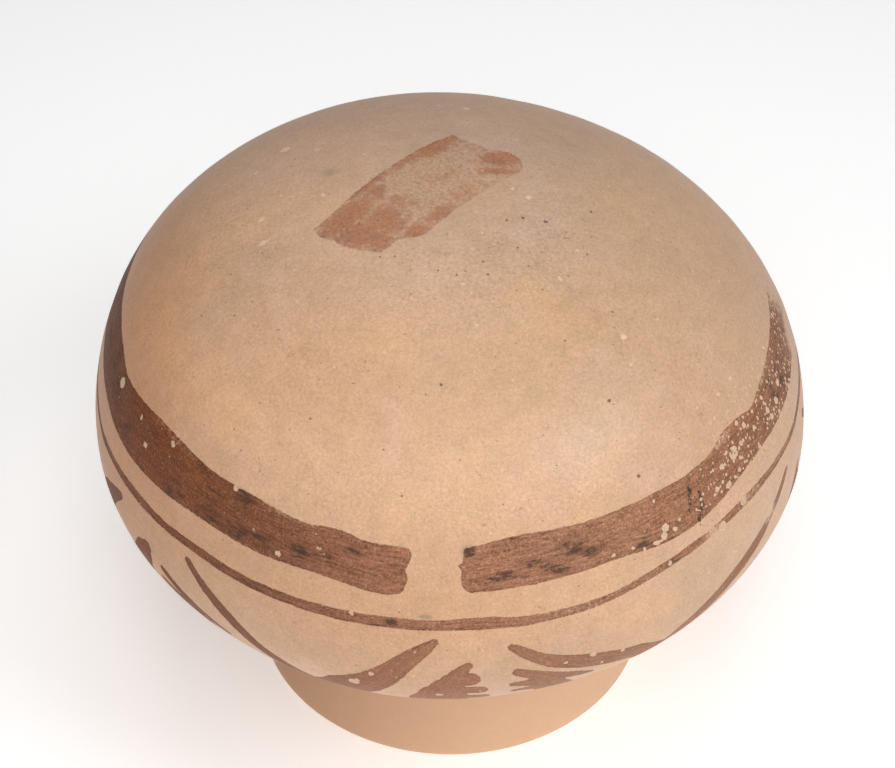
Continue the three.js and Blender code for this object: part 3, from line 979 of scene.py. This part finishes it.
def place_camera():
    """The photograph's view: the camera turns up or aside a little, so the aimed point falls on its pixel."""
    data = bpy.data.cameras.new("view")
    data.sensor_width = SENSOR
    data.lens = FOCAL_PIXELS / PHOTO_WIDTH * SENSOR
    camera = bpy.data.objects.new("view", data)
    bpy.context.scene.collection.objects.link(camera)
    back = CAMERA_DISTANCE * math.cos(CAMERA_DOWN)
    camera.location = (0, -back, AIM_HEIGHT + CAMERA_DISTANCE * math.sin(CAMERA_DOWN))
    lift = math.atan((AIM_PIXEL[1] - PHOTO_HEIGHT / 2) / FOCAL_PIXELS)
    aside = math.atan((AIM_PIXEL[0] - PHOTO_WIDTH / 2) / FOCAL_PIXELS)
    camera.rotation_euler = (math.pi / 2 - CAMERA_DOWN + lift, 0, aside)
    bpy.context.scene.camera = camera


# The lamps: azimuth and height in degrees, distance and size in metres, power in watts
LAMPS = {
    "key": (60, 45, 1.3, 0.6, 5.2),
    "left": (-60, 30, 1.3, 0.6, 1.0),
    "front": (0, 50, 1.4, 0.6, 5.7),
    "top": (0, 88, 1.3, 0.8, 5.3),
}
LAMP_TARGET = Vector((0, 0, 0.1))
SURROUND = 0.02
# The floor glows a little, as a light table does: strength, and where it fades, in metres from the middle
FLOOR_GLOW = 0.4
GLOW_FULL, GLOW_FADED, GLOW_LEAST = 0.3, 1.4, 0.22


def add_lamp(name, azimuth, height, distance, size, power):
    """One soft square lamp, facing the middle of the jar."""
    data = bpy.data.lights.new(name, "AREA")
    data.shape = "SQUARE"
    data.size = size
    data.energy = power
    lamp = bpy.data.objects.new(name, data)
    a, h = math.radians(azimuth), math.radians(height)
    away = Vector((math.cos(h) * math.sin(a), -math.cos(h) * math.cos(a), math.sin(h))) * distance
    lamp.location = LAMP_TARGET + away
    lamp.rotation_euler = (-away).to_track_quat("-Z", "Y").to_euler()
    bpy.context.scene.collection.objects.link(lamp)


# The pale cove that the jar stands in: a round floor that curves up into a wall, in metres
FLOOR_RADIUS = 4.0
COVE_RADIUS = 2.0
WALL_TOP = 3.0
INNER_RINGS = (0.3, 1.5)
COVE_STEPS = 16
COVE_SIDES = 96
FLOOR_COLOUR = (0.93, 0.93, 0.93, 1)
FLOOR_ROUGHNESS = 0.9


def cove_mesh():
    """A profile turned round the axis: the flat floor, a quarter circle, and a wall."""
    turn = np.linspace(0, math.pi / 2, COVE_STEPS)
    bend = FLOOR_RADIUS + COVE_RADIUS * np.sin(turn)
    radius = np.concatenate([INNER_RINGS, bend, [FLOOR_RADIUS + COVE_RADIUS]])
    height = np.concatenate([[0] * len(INNER_RINGS), COVE_RADIUS * (1 - np.cos(turn)), [WALL_TOP]])
    angle = np.arange(COVE_SIDES) / COVE_SIDES * 2 * math.pi
    rings = turned_rows(np.stack([radius, height], 1), angle)
    points = np.concatenate([[[0, 0, 0]], rings])
    column = np.arange(COVE_SIDES)
    after = (column + 1) % COVE_SIDES
    middle = np.stack([np.zeros(COVE_SIDES, int), 1 + column, 1 + after], 1)
    row = np.arange(len(radius) - 1)[:, None] * COVE_SIDES + 1
    quads = np.stack([row + column, row + COVE_SIDES + column, row + COVE_SIDES + after, row + after], 2)
    mesh = bpy.data.meshes.new("cove")
    mesh.from_pydata(points.tolist(), [], middle.tolist() + quads.reshape(-1, 4).tolist())
    mesh.polygons.foreach_set("use_smooth", np.ones(len(mesh.polygons), bool))
    return mesh


def studio():
    """A plain pale floor that curves up all round, soft lamps and an even surround."""
    cove = bpy.data.objects.new("cove", cove_mesh())
    bpy.context.scene.collection.objects.link(cove)
    material, shader, place = new_material("pale_floor")
    shader.inputs["Base Color"].default_value = FLOOR_COLOUR
    shader.inputs["Roughness"].default_value = FLOOR_ROUGHNESS
    shader.inputs["Emission Strength"].default_value = FLOOR_GLOW
    glow = place.apart((0, 0, 0)).over(GLOW_FULL / MM, GLOW_FADED / MM, 1.0, GLOW_LEAST)
    material.node_tree.links.new(glow.socket, shader.inputs["Emission Color"])
    cove.data.materials.append(material)
    world = bpy.data.worlds.new("surround")
    world.use_nodes = True
    world.node_tree.nodes["Background"].inputs[0].default_value = (1, 1, 1, 1)
    world.node_tree.nodes["Background"].inputs[1].default_value = SURROUND
    bpy.context.scene.world = world
    for name, values in LAMPS.items():
        add_lamp(name, *values)
    bpy.context.scene.view_settings.view_transform = "Standard"


place_camera()
dress_jar()
studio()
